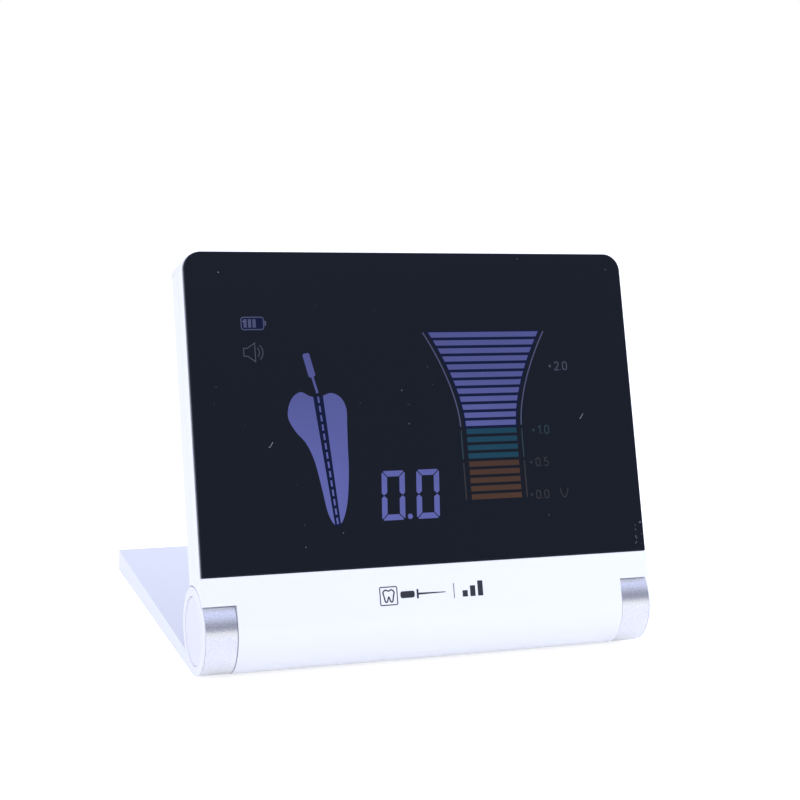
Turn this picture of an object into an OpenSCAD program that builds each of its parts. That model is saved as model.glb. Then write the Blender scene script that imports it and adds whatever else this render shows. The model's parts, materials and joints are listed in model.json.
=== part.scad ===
// Folding dental apex locator. A leaning display housing and a flat base are
// joined by two friction hinges, one at each end of a round battery barrel.
// X runs along the barrel, the screen faces -Y and the base reaches back to +Y.
// The origin is on the table, at the middle of the footprint.
// Housing parts are drawn upright about the hinge axis and then leaned back:
// y counts from the axis towards the back, z along the housing towards its top.

/* [Display housing] */
// Width of the housing and of the base
panel_w = 120; // [118:1:124]
// Height of the housing above the hinge axis
panel_h = 92.3; // [91:0.1:96]
// Depth of the housing from glass to back
panel_d = 14.5; // [14.5:0.1:15.5]
// Radius of the two upper corners
corner_r = 4.7; // [3:0.1:6]
// Radius where sides and top meet the back
back_r = 2.5; // [2:0.5:3.5]
// Wall thickness of the mouldings
wall = 1.6; // [1.4:0.1:1.8]
// Lean of the housing from upright
lean = 19; // [0:1:60]
// Distance from the glass to the seam between the two housing shells
seam_depth = 6; // [5.5:0.1:6.2]

/* [Cover glass] */
// Thickness of the cover glass
glass_t = 1.1; // [0.8:0.1:1.2]
// Lower edge of the glass above the hinge axis
glass_z = 12.2; // [12:0.1:14]
// Margin of the frame around the glass
glass_inset = 0.15; // [0.1:0.05:0.5]

/* [Hinge] */
// Radius of the battery barrel
barrel_r = 11; // [11:0.1:11.4]
// Radius of the hinge knuckles at both ends
knuckle_r = 10.85; // [10.6:0.05:10.9]
// Width of one knuckle
knuckle_w = 8.3; // [8.1:0.1:8.6]
// Radius of the hinge shafts
shaft_r = 2.5; // [2:0.1:2.8]
// Thickness of the aluminium rings
ring_t = 1.45; // [1:0.05:1.5]

/* [Base] */
// Thickness of the base at its rear edge
base_t = 5.8; // [5.3:0.1:6]
// Thickness of the base at the hinge
base_front_t = 3.6; // [3.5:0.1:4.3]
// Reach of the base behind the hinge axis
base_l = 93; // [90:1:100]
// Radius of the two rear corners of the base
base_corner_r = 0.8; // [0.6:0.1:2]
// Height of the feet below the base
foot_h = 0.8; // [0.6:0.1:1.2]
// Thickness of the steel ballast plate
ballast_t = 1.2; // [0.8:0.1:1.2]

/* [Battery] */
// Radius of the lithium cell
cell_r = 9.1; // [8.5:0.1:9.1]
// Length of the lithium cell
cell_l = 65; // [60:0.5:66]

/* [Side controls] */
// Bore radius of the measuring-lead socket
jack_r = 1.8; // [1.3:0.1:1.8]
// Height of the socket above the hinge axis
jack_z = 30; // [29:0.5:31]
// Height of the charging port above the hinge axis
port_z = 44; // [43:0.5:45]
// Height of the lowest key above the hinge axis
key_z = 58; // [57:0.5:59]
// Spacing of the three keys
key_pitch = 10; // [9:0.5:10]
// Travel of a key
key_travel = 0.5; // [0.3:0.1:0.5]

/* [Hidden] */
$fn = 64;

white = [0.93, 0.95, 0.98];
steel = [0.62, 0.63, 0.65];
silver = [0.78, 0.79, 0.82];
nickel = [0.72, 0.71, 0.67];
bronze = [0.66, 0.47, 0.25];
rubber = [0.13, 0.13, 0.14];
pcb_green = [0.06, 0.33, 0.2];
chip_black = [0.09, 0.09, 0.1];

sides = [-1, 1];
eps = 0.01;
gap = 0.1;             // assembly gap between mouldings
run_gap = 0.05;        // running clearance on a shaft
half_w = panel_w / 2;

// Hinge line, and where barrel and knuckles meet
axis_y = -(base_l - barrel_r) / 2;
knuckle_x = half_w - knuckle_w;
barrel_x = knuckle_x - 0.12;
bulkhead_x = barrel_x - 3;
flange_t = 0.35;
washer_r = 6.5;
washer_seat = 0.3;
hub_r = knuckle_r - ring_t - run_gap;
cap_r = 0.785 * knuckle_r;
cap_t = 1.15;
shaft_head_r = 6.4;
shaft_head_t = 1.6;
shaft_head_x = half_w - 4.25;
bush_r = shaft_r + 2;
bush_flange_t = 1;

// Depths inside the housing, front to back
front_y = -barrel_r;
back_y = front_y + panel_d;
bed_y = front_y + glass_t;
bed_back_y = bed_y + wall;
seam_y = front_y + seam_depth;
barrel_seam_y = 2.5;
inner_r = barrel_r - wall;
inner_x = half_w - wall;
inner_back_y = back_y - wall;
notch_r = barrel_r + 0.15;
notch_z = 5.4;
ceiling_r = notch_r + wall;

// The base is a wedge; its heights are counted from the hinge axis
base_bottom = -knuckle_r;
axis_z = foot_h - base_bottom;
base_gap_r = barrel_r + 0.4;
base_front = 5.5;
base_slope = (base_t - base_front_t) / (base_l - base_front);
function base_top(y) = base_bottom + base_front_t + base_slope * (y - base_front);
knuckle_top = base_top(sqrt(pow(knuckle_r, 2) - pow(knuckle_r - base_front_t, 2)));
roof_t = 1.2;
tray_y = 12.5;
cover_t = 1.4;
ballast_z = cover_t + 0.2;
ballast_y = max(tray_y + 2,
                base_front + (ballast_z + ballast_t + roof_t + gap - base_front_t) / base_slope);
foot_recess = 0.5;
foot_r = 2.5;
foot_l = 18;
foot_x = 38;
foot_ys = [9, base_l - 8];
base_screw_x = 50;
base_screw_ys = [30, base_l - 20];

// Display stack
lcd_x = 49;
lcd_z0 = glass_z + 6;
lcd_z1 = panel_h - 5.5;
lcd_t = 2.8;
lcd_y = bed_y + gap;
guide_y = lcd_y + lcd_t + gap;
guide_t = 2.5;
bracket_y = guide_y + guide_t + gap;
bracket_t = 0.5;
bracket_x = lcd_x - 0.2;
bracket_post_x = 51.6;
bracket_post_zs = [24, panel_h - 12];
board_y = bracket_y + bracket_t + 1.2;
board_t = 1.2;
board_back_y = board_y + board_t;
board_x0 = -44;
board_x1 = 48.5;
board_z0 = 24;
board_z1 = panel_h - 10;
board_screw_x = 40;
board_screw_zs = [28, panel_h - 14];
case_screw_x = 54.8;
case_screw_zs = [17.2, panel_h - 5];
pad_x = 46;
pad_z = panel_h - 6;
pad_r = 2.5;
pad_h = 1.6;

// Sockets and keys on the right side
jack_body = [14.4, 6.1, 7.2];
jack_y = -1.25;
jack_nose_r = jack_r + 0.8;
jack_depth = 14;
jack_x0 = half_w - 1.8 - jack_body[0];
port_w = 8.94;
port_h = 3.16;
port_y = board_back_y + port_h / 2 + run_gap;
port_x0 = half_w - 7.4;
key_y = -1.8;
key_w = 6.8;
key_r = 1.4;
key_inner_x = half_w - 2.5;
key_zs = [for (i = [0 : 2]) key_z + i * key_pitch];
key_board_x = half_w - 5.6;
buzzer_x = -22;
buzzer_z = 68;
buzzer_r = 6;

// ---- placing and drawing aids ----

module on_base() translate([0, axis_y, axis_z]) children();
module on_panel() translate([0, axis_y, axis_z]) rotate([-lean, 0, 0]) children();

// A y-z outline drawn out from x0 to x1
module along_x(x0, x1)
  translate([x0, 0, 0]) rotate([90, 0, 90]) linear_extrude(x1 - x0) children();

// An x-z outline drawn out from y0 to y1
module along_y(y0, y1)
  translate([0, y1, 0]) rotate([90, 0, 0]) linear_extrude(y1 - y0) children();

// The same piece at the right and, mirrored, at the left
module both_sides() for (s = sides) mirror([s < 0 ? 1 : 0, 0, 0]) children();

// A round bar along X
module rod_x(r, x0, x1) translate([x0, 0, 0]) rotate([0, 90, 0]) cylinder(r = r, h = x1 - x0);

// A round bar along Y
module rod_y(r, y0, y1) translate([0, y1, 0]) rotate([90, 0, 0]) cylinder(r = r, h = y1 - y0);

// A wire through the points of a list, with a slightly larger ball at each bend
module wire(points, r) {
  for (i = [1 : len(points) - 2]) translate(points[i]) sphere(1.1 * r);
  for (i = [1 : len(points) - 1]) {
    d = points[i] - points[i - 1];
    translate(points[i - 1]) rotate([0, acos(d[2] / norm(d)), atan2(d[1], d[0])])
      cylinder(r = r, h = norm(d));
  }
}

// A slot outline of the given length and end radius, lying along x
module slot_outline(l, r) {
  square([l - 2 * r, 2 * r], center = true);
  for (s = sides) translate([s * (l / 2 - r), 0]) circle(r);
}

module box(a, b) translate(a) cube(b - a);

// A rectangle from corner a to corner b
module rect(a, b) translate(a) square(b - a);

// A sector of the plane between two angles less than 120 degrees apart
module sector(a0, a1) {
  far = 30;
  polygon([[0, 0], for (a = [a0, (a0 + a1) / 2, a1]) far * [cos(a), sin(a)]]);
}

// ---- housing outlines ----

// The housing seen from the front, with its two round corners
module front_outline(inset, z0) {
  r = corner_r - inset;
  x = half_w - inset;
  z = panel_h - inset;
  rect([-x, z0], [x, z - r]);
  rect([-x + r, z0], [x - r, z]);
  for (s = sides) translate([s * (x - r), z - r]) circle(r);
}

// Section from the side, with the round edge at the top of the back
module side_outline() {
  rect([front_y, 0], [back_y, panel_h - back_r]);
  rect([front_y, 0], [back_y - back_r, panel_h]);
  translate([back_y - back_r, panel_h - back_r]) circle(back_r);
}

// Section from above, with the round edges of the back
module plan_outline() {
  x = half_w;
  rect([-x, front_y], [x, back_y - back_r]);
  rect([-x + back_r, front_y], [x - back_r, back_y]);
  for (s = sides) translate([s * (x - back_r), back_y - back_r]) circle(back_r);
}

// The barrel and the blend up to the flat back of the housing
module barrel_outline() {
  blend_r = 3;
  blend = [back_y + blend_r, sqrt(pow(barrel_r + blend_r, 2) - pow(back_y + blend_r, 2))];
  circle(barrel_r);
  difference() {
    polygon([[inner_back_y, blend[1]], [inner_back_y, inner_r - 1],
             blend * barrel_r / norm(blend), blend]);
    translate(blend) circle(blend_r);
  }
}

// What the knuckles and their swing need at each end of the barrel
module notch_outline() {
  circle(notch_r);
  rect([front_y - 2, -barrel_r], [front_y + 2, notch_z]);
}

module housing_solid() {
  difference() {
    intersection() {
      along_y(front_y, back_y) front_outline(0, 0);
      along_x(-half_w, half_w) side_outline();
      linear_extrude(panel_h) plan_outline();
    }
    both_sides() along_x(barrel_x, half_w + 1) notch_outline();
  }
  along_x(-barrel_x, barrel_x) barrel_outline();
}

// The room inside both shells
module housing_cavity() {
  difference() {
    along_y(bed_back_y, inner_back_y) front_outline(wall, 0);
    both_sides() along_x(barrel_x, half_w) circle(ceiling_r);
  }
  along_x(-barrel_x, barrel_x) {
    circle(inner_r);
    rect([-inner_r, 0], [bed_back_y + 1, glass_z - wall]);
  }
}

// Which part of the section belongs to the front frame
module front_share(shift) {
  rect([-40, 0], [seam_y + shift, panel_h + 10]);
  rect([-40, -40], [barrel_seam_y + shift, 0]);
}

module case_screw_places()
  for (s = sides, z = case_screw_zs) translate([s * case_screw_x, 0, z]) children();
module bracket_screw_places()
  for (s = sides, z = bracket_post_zs) translate([s * bracket_post_x, 0, z]) children();
module board_screw_places()
  for (s = sides, z = board_screw_zs) translate([s * board_screw_x, 0, z]) children();

// ---- display housing ----

module front_frame() color(white) on_panel() difference() {
  union() {
    difference() {
      intersection() {
        housing_solid();
        along_x(-half_w - 1, half_w + 1) front_share(-gap / 2);
      }
      housing_cavity();
      box([-half_w - 1, front_y - 1, glass_z], [half_w + 1, bed_y, panel_h + 1]);
      box([-lcd_x - 0.3, bed_y - 1, lcd_z0 - 0.3], [lcd_x + 0.3, bed_back_y + 1, lcd_z1 + 0.3]);
    }
    both_sides() {
      along_x(bulkhead_x, barrel_x) bulkhead_outline();
      along_x(cell_l / 2 + 2.5, cell_l / 2 + 3.7) intersection() {
        circle(inner_r + 0.3);
        rect([-barrel_r, -barrel_r], [barrel_seam_y - gap, 2]);
      }
    }
    case_screw_places() rod_y(2.4, bed_back_y - 0.5, inner_back_y - run_gap);
    bracket_screw_places() rod_y(2, bed_back_y - 0.5, bracket_y - run_gap);
    for (z = [key_zs[0] - 6.5, key_zs[2] + 5]) difference() {
      box([key_board_x - 0.8, bed_back_y - 0.5, z], [key_board_x + 1.8, seam_y, z + 1.5]);
      box([key_board_x - gap, bed_back_y + gap / 2, z - 1],
          [key_board_x + 1 + gap, seam_y + 1, z + (z < key_zs[1] ? 2 : 0.5)]);
    }
  }
  both_sides() rod_x(bush_r + run_gap, bulkhead_x - 1, barrel_x + 1);
  case_screw_places() rod_y(1.15, bed_back_y + 1, back_y);
  bracket_screw_places() rod_y(0.9, bed_back_y + 0.5, back_y);
}

module bulkhead_outline() {
  circle(inner_r - gap);
  intersection() {
    circle(ceiling_r);
    rect([-inner_r - 0.2, 0], [inner_back_y - gap, ceiling_r]);
  }
  intersection() {
    circle(inner_r + 0.3);
    rect([-barrel_r, -barrel_r], [0, 0]);
  }
}

module rear_cover() color(white) on_panel() difference() {
  housing_solid();
  along_x(-half_w - 1, half_w + 1) front_share(gap / 2);
  housing_cavity();
  case_screw_places() {
    rod_y(1.3, 0, back_y + 1);
    translate([0, back_y + eps, 0]) rotate([90, 0, 0]) cylinder(r1 = 2.5, r2 = 1.3, h = 1.2);
  }
  translate([0, jack_y, jack_z]) rod_x(jack_nose_r + gap, inner_x - 1, half_w + 1);
  translate([0, port_y, port_z]) along_x(inner_x - 1, half_w + 1)
    rotate(90) slot_outline(port_w + 0.3, (port_h + 0.3) / 2);
  for (z = key_zs) translate([0, key_y, z]) along_x(inner_x - 1, half_w + 1)
    rotate(90) slot_outline(key_w + 0.3, key_r + 0.15);
  for (s = sides) translate([s * pad_x, 0, pad_z]) rod_y(pad_r + gap, back_y - 0.5, back_y + 1);
  for (i = [-2 : 2]) translate([buzzer_x, 0, buzzer_z + i * 2])
    box([-4.5 + abs(i), inner_back_y - 1, -0.4], [4.5 - abs(i), back_y + 1, 0.4]);
}

module rear_cover_screws() color(steel) on_panel() case_screw_places() difference() {
  union() {
    translate([0, back_y - 0.05, 0]) rotate([90, 0, 0]) cylinder(r1 = 2.35, r2 = 1.1, h = 1.2);
    rod_y(1.05, bed_back_y + 1.5, back_y - 1);
  }
  driver_cross(1.6, back_y - 0.75);
}

// A cross recess in a screw head that faces +Y
module driver_cross(l, y) for (a = [0, 90]) rotate([0, a, 0])
  box([-l / 2, y, -0.25], [l / 2, y + 3, 0.25]);

module bumper_pads() color(rubber) on_panel()
  for (s = sides) translate([s * pad_x, 0, pad_z]) rod_y(pad_r, back_y - 0.45, back_y + pad_h);

module cover_glass() color([0.08, 0.09, 0.12]) on_panel()
  along_y(front_y, bed_y - run_gap) front_outline(glass_inset, glass_z + run_gap);

// ---- display and electronics ----

module lcd_module() color([0.16, 0.17, 0.24]) on_panel() {
  box([-lcd_x, lcd_y, lcd_z0], [lcd_x, lcd_y + lcd_t / 2, lcd_z1]);
  box([-lcd_x, lcd_y + lcd_t / 2, lcd_z0 + 2], [lcd_x, lcd_y + lcd_t, lcd_z1]);
}

module light_guide() color([0.86, 0.9, 0.96]) on_panel()
  box([-lcd_x, guide_y, lcd_z0 + 3], [lcd_x, guide_y + guide_t, lcd_z1]);

module lcd_bracket() color(silver) on_panel() difference() {
  y1 = bracket_y + bracket_t;
  union() {
    box([-bracket_x, bracket_y, lcd_z0 + 3], [bracket_x, y1, lcd_z1]);
    both_sides() for (z = bracket_post_zs)
      box([bracket_post_x - 3.4, bracket_y, z - 2], [bracket_post_x + 2, y1, z + 2]);
    board_screw_places() rod_y(2.2, bracket_y, board_y - run_gap);
  }
  box([-32, bracket_y - 1, 36], [32, y1 + 1, panel_h - 24]);
  box([jack_x0 - 0.5, bracket_y - 1, jack_z - 4.1], [half_w, y1 + 1, jack_z + 4.1]);
  bracket_screw_places() rod_y(0.95, bracket_y - 1, y1 + 1);
  board_screw_places() rod_y(0.9, bracket_y - 1, board_y + 1);
}

module bracket_screws() color(steel) on_panel() bracket_screw_places()
  pan_screw(bracket_y + bracket_t, 3.4);

module board_screws() color(steel) on_panel() board_screw_places()
  pan_screw(board_back_y, 2.6);

// A small pan-head screw whose head rests on a face at y
module pan_screw(y, l) difference() {
  union() {
    rod_y(0.85, y - l, y + 0.2);
    rod_y(1.7, y + run_gap / 5, y + 1);
  }
  driver_cross(1.5, y + 0.5);
}

// The flat lead from the display's lower edge round to the board
module lcd_ribbon() color([0.75, 0.45, 0.12]) on_panel() {
  y0 = lcd_y + lcd_t / 2 + 0.05;
  y1 = board_back_y + 0.5;
  r = (y1 - y0) / 2;
  z0 = lcd_z0 + 0.5;
  t = 0.2;
  along_x(-12, 12) {
    rect([y0, z0], [y0 + t, z0 + 1.2]);
    rect([y1 - t, z0], [y1, board_z0 + 3]);
    translate([(y0 + y1) / 2, z0]) intersection() {
      difference() {
        circle(r);
        circle(r - t);
      }
      rect([-r, -r], [r, 0]);
    }
  }
}

module main_board() color(pcb_green) on_panel() difference() {
  union() {
    box([board_x0, board_y, board_z0], [board_x1, board_back_y, board_z1]);
    box([board_x1 - 1, board_y, port_z - 5.5], [half_w - 2.2, board_back_y, port_z + 5.5]);
  }
  box([jack_x0 - 0.5, board_y - 1, jack_z - 4.1], [half_w, board_back_y + 1, jack_z + 4.1]);
  board_screw_places() rod_y(0.95, board_y - 1, board_back_y + 1);
}

// Each entry: x and z of the middle, width, height and thickness of a chip
chips = [
  [-8, 52, 10, 10, 1.4], [10, 47, 7, 7, 1.1], [24, 56, 6, 5, 1.0], [37, 44, 4, 4, 0.9],
  [28, 42, 5, 5, 2.4], [-28, 50, 5, 4, 1.0], [12, 66, 9, 6, 1.3], [-8, 66, 7, 3, 1.8],
  [36, 70, 8, 4, 2.6], [-30, 29, 8, 5, 2.8], [44, 60, 4, 9, 2.6]
];
module board_chips() color(chip_black) on_panel() {
  y = board_back_y + eps;
  for (c = chips) box([c[0] - c[2] / 2, y, c[1] - c[3] / 2],
                      [c[0] + c[2] / 2, y + c[4], c[1] + c[3] / 2]);
  box([-13, y + 0.6, board_z0 + 1.5], [13, y + 2, board_z0 + 4.5]);
}

module buzzer() color(chip_black) on_panel() translate([buzzer_x, 0, buzzer_z]) difference() {
  rod_y(buzzer_r, board_back_y + eps, board_back_y + 2.9);
  rod_y(1, board_back_y + 1.5, board_back_y + 4);
}

module measuring_jack() color(chip_black) on_panel() translate([0, jack_y, jack_z]) difference() {
  union() {
    box([jack_x0, -jack_body[1] / 2, -jack_body[2] / 2],
        [jack_x0 + jack_body[0], jack_body[1] / 2, jack_body[2] / 2]);
    rod_x(jack_nose_r, jack_x0 + 1, half_w - 0.2);
  }
  rod_x(jack_r, half_w - 0.2 - jack_depth, half_w + 1);
}

module charging_port() color(silver) on_panel() translate([0, port_y, port_z]) {
  x1 = half_w - 0.1;
  difference() {
    along_x(port_x0, x1) rotate(90) slot_outline(port_w, port_h / 2);
    along_x(port_x0 + 1, x1 + 1) rotate(90) slot_outline(port_w - 0.6, port_h / 2 - 0.3);
  }
  box([port_x0 + 0.5, -0.35, -3.3], [x1 - 0.6, 0.35, 3.3]);
}

module key_board() color(pcb_green) on_panel()
  box([key_board_x, bed_back_y + gap, key_zs[0] - 5.2],
      [key_board_x + 1, inner_back_y - 0.9, key_zs[2] + 5.2]);

module key_switches() color(nickel) on_panel() for (z = key_zs) translate([0, key_y, z]) {
  box([key_board_x + 1 + eps, -1.8, -1.8], [key_board_x + 2.1, 1.8, 1.8]);
  rod_x(0.9, key_board_x + 2, key_inner_x - key_travel - run_gap);
}

// A push key: its face is just below the side wall, and its collar keeps it in
module side_key(i) color(white) on_panel() translate([0, key_y, key_zs[i]]) {
  along_x(key_inner_x, half_w - 0.1) rotate(90) slot_outline(key_w, key_r);
  along_x(key_inner_x, inner_x - 0.2) rotate(90) slot_outline(key_w + 1.4, key_r + 0.7);
}
module power_key() side_key(2);
module volume_key() side_key(1);
module mode_key() side_key(0);

// ---- battery in the barrel ----

module battery_cell() color([0.16, 0.36, 0.55]) on_panel() {
  rod_x(cell_r, -cell_l / 2, cell_l / 2 - 0.8);
  rod_x(3, cell_l / 2 - 1, cell_l / 2 + 0.15);
}

module battery_tabs() color(nickel) on_panel()
  for (x = [-cell_l / 2 - 0.35, cell_l / 2 + 0.35])
    box([x - 0.1, -3, -3], [x + 0.1, 3, 7.5]);

module battery_wires() on_panel() {
  r = 0.5;
  top = [-31, board_back_y + 1.4, 26];
  x = cell_l / 2 + 1;
  color("firebrick") wire([[x, -1, 5], [x, -1, 11.2], [-27, -1, 11.2], top + [2.5, 0, 0]], r);
  color("black") wire([[-x, 0, 5], [-x, 0, 13], top], r);
}

// ---- hinges ----

module friction_bush(s) color(bronze) on_panel() mirror([s < 0 ? 1 : 0, 0, 0]) difference() {
  union() {
    rod_x(bush_r, bulkhead_x - 0.2, barrel_x - gap / 4);
    rod_x(bush_r + 2, bulkhead_x - bush_flange_t - run_gap, bulkhead_x - run_gap);
  }
  rod_x(shaft_r + run_gap, bulkhead_x - 3, barrel_x + 1);
}
module left_friction_bush() friction_bush(-1);
module right_friction_bush() friction_bush(1);

module hinge_shaft(s) color(steel) on_base() mirror([s < 0 ? 1 : 0, 0, 0]) difference() {
  union() {
    rod_x(shaft_r, bulkhead_x - 7.5, shaft_head_x + 0.5);
    rod_x(shaft_head_r, shaft_head_x, shaft_head_x + shaft_head_t);
  }
  shaft_screw_places() rod_x(0.95, shaft_head_x - 1, shaft_head_x + shaft_head_t + 1);
}
module left_hinge_shaft() hinge_shaft(-1);
module right_hinge_shaft() hinge_shaft(1);

module shaft_screw_places()
  for (a = [90, 210, 330]) rotate([a, 0, 0]) translate([0, 4.4, 0]) children();

module shaft_screws() color(steel) on_base() both_sides() shaft_screw_places() {
  rod_x(0.85, shaft_head_x - 3, shaft_head_x + shaft_head_t + 0.2);
  rod_x(1.5, shaft_head_x + shaft_head_t + eps, shaft_head_x + shaft_head_t + 1);
}

module thrust_washers() color(bronze) on_base() both_sides() difference() {
  rod_x(washer_r, barrel_x + 0.02, knuckle_x + washer_seat - 0.02);
  rod_x(shaft_r + run_gap, barrel_x - 1, knuckle_x + 1);
}

// Two cone washers stacked tip to tip press the shaft's nut away from the bush
module spring_washers() color(steel) on_base() both_sides()
  translate([bulkhead_x - bush_flange_t - 0.1, 0, 0]) rotate([0, -90, 0]) for (flip = [0, 1])
    translate([0, 0, flip * 2.1]) mirror([0, 0, flip]) rotate_extrude()
      polygon([[shaft_r + 0.1, 0.6], [5.5, 0], [5.5, 0.4], [shaft_r + 0.1, 1]]);

module lock_nuts() color(steel) on_base() both_sides()
  translate([bulkhead_x - bush_flange_t - 2.3, 0, 0]) rotate([0, -90, 0]) difference() {
    cylinder(r = 4.6, h = 2.8, $fn = 6);
    translate([0, 0, -1]) cylinder(r = shaft_r + run_gap, h = 5);
  }

module hinge_ring(s) color(silver) on_base() mirror([s < 0 ? 1 : 0, 0, 0])
  along_x(knuckle_x + run_gap, half_w - flange_t - run_gap) difference() {
    circle(knuckle_r);
    circle(hub_r + run_gap);
    ring_opening();
  }
module left_hinge_ring() hinge_ring(-1);
module right_hinge_ring() hinge_ring(1);

// The stretch where the knuckle joins the base and the ring is open
module ring_opening() sector(-90.5, asin((knuckle_top + gap) / knuckle_r));

module end_cap(s) color(white) on_base() mirror([s < 0 ? 1 : 0, 0, 0]) {
  x1 = half_w - gap;
  rod_x(cap_r - gap, x1 - cap_t, x1);
  difference() {
    rod_x(shaft_head_r + 0.2, x1 - cap_t - 0.9, x1 - cap_t + 0.1);
    rod_x(shaft_head_r - 0.35, x1 - cap_t - 2, x1 + 1);
  }
}
module left_end_cap() end_cap(-1);
module right_end_cap() end_cap(1);

// ---- base ----

// The base seen from above, from y0 back to its rounded rear corners
module base_outline(inset, y0) {
  r = max(base_corner_r - inset, 0.3);
  x = half_w - inset;
  y = base_l - inset;
  rect([-x, y0], [x, y - r]);
  rect([-x + r, y0], [x - r, y]);
  for (s = sides) translate([s * (x - r), y - r]) circle(r);
}

// An outline drawn up from height z to the sloping top of the base, less drop
module base_wedge(z, drop) intersection() {
  y0 = -1;
  y1 = base_l + 1;
  translate([0, 0, z]) linear_extrude(base_t + 2) children();
  along_x(-half_w - 1, half_w + 1)
    polygon([[y0, z - 1], [y1, z - 1], [y1, base_top(y1) - drop], [y0, base_top(y0) - drop]]);
}

module base_screw_places()
  for (s = sides, y = base_screw_ys) translate([s * base_screw_x, y, 0]) children();

module foot_places(ys) for (s = sides, y = ys) translate([s * foot_x, y, 0]) children();

module knuckle() {
  rod_x(hub_r, knuckle_x, half_w - flange_t + eps);
  rod_x(knuckle_r, half_w - flange_t, half_w);
}

// The recess for the end cap, and the seats of the thrust washer, the shaft and its screws
module knuckle_recess() {
  rod_x(washer_r + gap, knuckle_x - 1, knuckle_x + washer_seat);
  rod_x(cap_r, half_w - gap - cap_t - 0.1, half_w + 1);
  rod_x(shaft_head_r + 0.3, shaft_head_x - run_gap, half_w + 1);
  rod_x(shaft_r + run_gap, knuckle_x - 1, half_w);
  shaft_screw_places() rod_x(0.9, shaft_head_x - 3.5, half_w);
}

module base_shell() color(white) on_base() difference() {
  union() {
    base_wedge(base_bottom, 0) {
      base_outline(0, base_front);
      both_sides() rect([knuckle_x, 0], [half_w, tray_y]);
    }
    both_sides() knuckle();
  }
  both_sides() knuckle_recess();
  rod_x(base_gap_r, -knuckle_x, knuckle_x);
  difference() {
    base_wedge(base_bottom - 1, roof_t) base_outline(wall, tray_y);
    base_screw_places() translate([0, 0, base_bottom + cover_t + run_gap]) cylinder(r = 2.6, h = 5);
  }
  base_screw_places() translate([0, 0, base_bottom]) cylinder(r = 0.9, h = base_front_t - 0.7);
  foot_places([foot_ys[0]]) foot_solid(gap, foot_recess);
}

// A foot's pad from below the base up to the given depth inside it
module foot_solid(grow, depth)
  translate([0, 0, base_bottom - foot_h]) linear_extrude(foot_h + depth)
    slot_outline(foot_l + 2 * grow, foot_r + grow);

module rubber_feet() color(rubber) on_base() foot_places(foot_ys) foot_solid(0, foot_recess - 0.05);

module base_bottom_cover() color(white) on_base() difference() {
  translate([0, 0, base_bottom]) linear_extrude(cover_t) base_outline(wall + gap, tray_y + gap);
  foot_places([foot_ys[1]]) foot_solid(gap, foot_recess);
  base_screw_places() translate([0, 0, base_bottom - 1]) {
    cylinder(r = 1.1, h = cover_t + 2);
    cylinder(r = 2.1, h = 1.8);
  }
}

module base_screws() color(steel) on_base() base_screw_places() difference() {
  z = base_bottom + 0.1;
  union() {
    translate([0, 0, z]) cylinder(r = 1.9, h = 0.65);
    translate([0, 0, z]) cylinder(r = 0.85, h = base_front_t - 1);
  }
  for (a = [0, 90]) rotate(a) box([-0.8, -0.25, z - 1], [0.8, 0.25, z + 0.4]);
}

module ballast_plate() color(steel) on_base() {
  z = base_bottom + ballast_z;
  box([-44, ballast_y, z], [44, base_l - 12, z + ballast_t]);
}

base_shell();
base_bottom_cover();
ballast_plate();
base_screws();
rubber_feet();
left_hinge_ring();
right_hinge_ring();
left_end_cap();
right_end_cap();
left_hinge_shaft();
right_hinge_shaft();
shaft_screws();
thrust_washers();
spring_washers();
lock_nuts();
front_frame();
rear_cover();
rear_cover_screws();
bumper_pads();
cover_glass();
lcd_module();
light_guide();
lcd_bracket();
bracket_screws();
lcd_ribbon();
main_board();
board_chips();
board_screws();
buzzer();
measuring_jack();
charging_port();
key_board();
key_switches();
battery_cell();
battery_tabs();
battery_wires();
left_friction_bush();
right_friction_bush();
power_key();
volume_key();
mode_key();
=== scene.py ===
"""Looks of the folding apex locator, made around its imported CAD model.

Lengths are metres, written as millimetres times MM. Pieces of the display housing are drawn
upright about the hinge line, with x along it, y towards the back and z up the housing, and
PANEL then leans them back into place. Nothing here moves or resizes a CAD part.
"""

import json
import math
import random

import bmesh
import bpy
from mathutils import Matrix, Vector


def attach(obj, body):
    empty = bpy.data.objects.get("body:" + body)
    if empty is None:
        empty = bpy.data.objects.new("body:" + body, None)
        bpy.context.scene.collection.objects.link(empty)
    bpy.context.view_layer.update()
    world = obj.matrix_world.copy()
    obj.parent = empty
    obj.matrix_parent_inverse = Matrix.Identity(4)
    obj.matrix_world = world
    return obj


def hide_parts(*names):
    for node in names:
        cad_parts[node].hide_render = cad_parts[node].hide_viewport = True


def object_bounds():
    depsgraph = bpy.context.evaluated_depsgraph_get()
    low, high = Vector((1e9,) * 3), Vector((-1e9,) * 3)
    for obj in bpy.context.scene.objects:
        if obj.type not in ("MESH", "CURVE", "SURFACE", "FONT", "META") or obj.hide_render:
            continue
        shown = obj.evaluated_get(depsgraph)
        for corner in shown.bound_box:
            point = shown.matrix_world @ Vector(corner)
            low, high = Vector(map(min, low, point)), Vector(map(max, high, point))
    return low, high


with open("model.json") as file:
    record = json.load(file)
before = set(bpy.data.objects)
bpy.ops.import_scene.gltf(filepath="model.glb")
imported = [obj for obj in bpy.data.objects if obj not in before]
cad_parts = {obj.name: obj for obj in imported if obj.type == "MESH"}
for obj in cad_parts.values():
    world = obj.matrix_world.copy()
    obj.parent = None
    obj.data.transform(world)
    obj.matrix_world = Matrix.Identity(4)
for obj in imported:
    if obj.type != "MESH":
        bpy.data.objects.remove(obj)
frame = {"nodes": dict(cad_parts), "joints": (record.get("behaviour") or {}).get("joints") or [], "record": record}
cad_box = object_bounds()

MM = 0.001

# ---- places taken from the frame ----

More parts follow.
